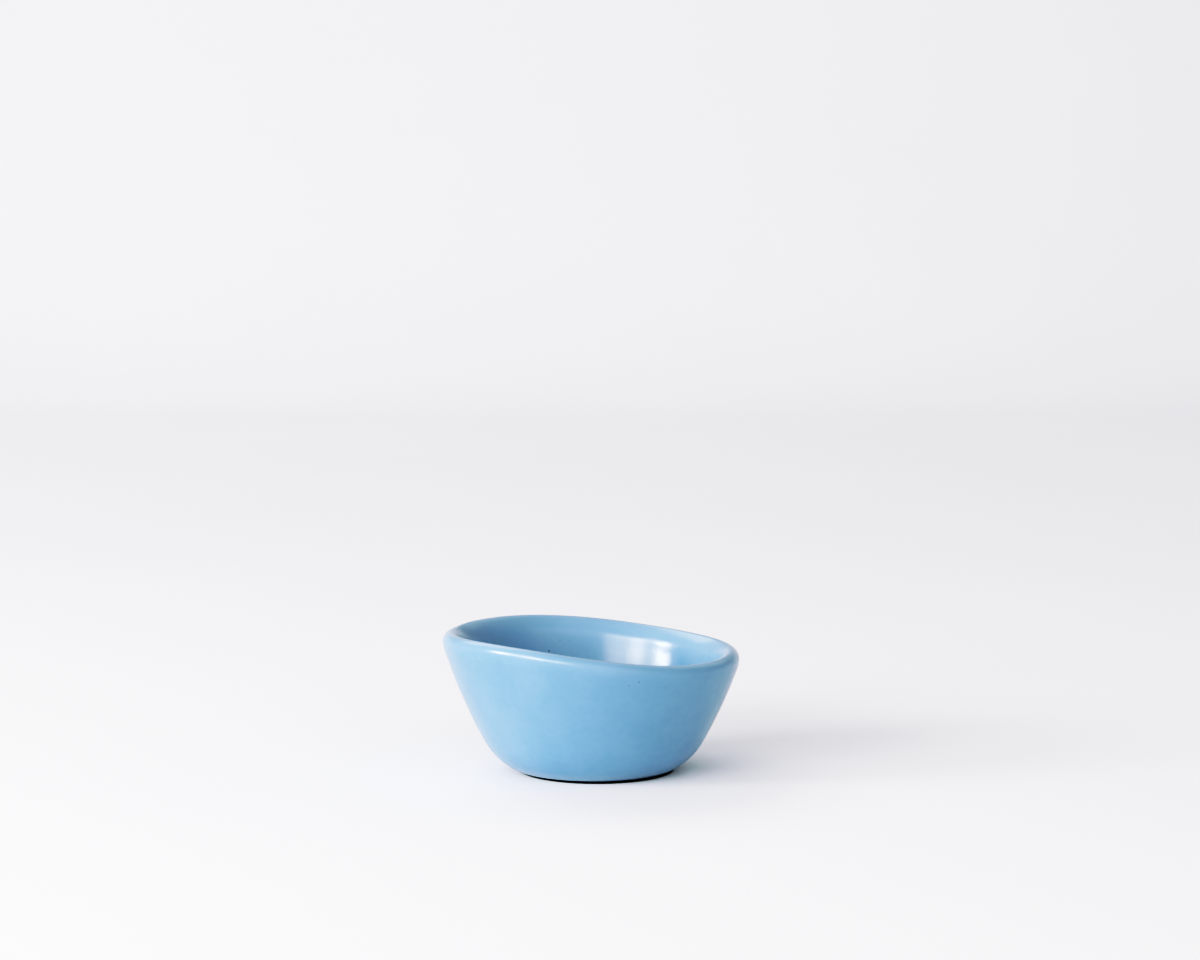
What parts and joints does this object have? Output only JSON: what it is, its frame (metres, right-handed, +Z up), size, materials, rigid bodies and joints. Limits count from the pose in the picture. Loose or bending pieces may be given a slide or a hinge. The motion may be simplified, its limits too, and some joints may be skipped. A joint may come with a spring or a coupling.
{
  "type": "ramekin",
  "caption": "Small handmade glazed ceramic bowl with flared walls, a thick rounded lip that tilts, and a low bare foot, for baking and serving a single portion.",
  "frame": {"origin": "on the table, under the centre of the rim", "axes": "+Z up out of the bowl; +X towards the low side of the rim, -X towards the high side; -Y is the side that the picture shows"},
  "size_m": [0.0989, 0.1012, 0.0475],
  "materials": {
    "bare_clay": "unglazed, matt",
    "blue_glaze": "glossy"
  },
  "bodies": {
    "root": {"clay_body": "bare_clay", "glaze_coat": "blue_glaze"}
  },
  "joints": []
}
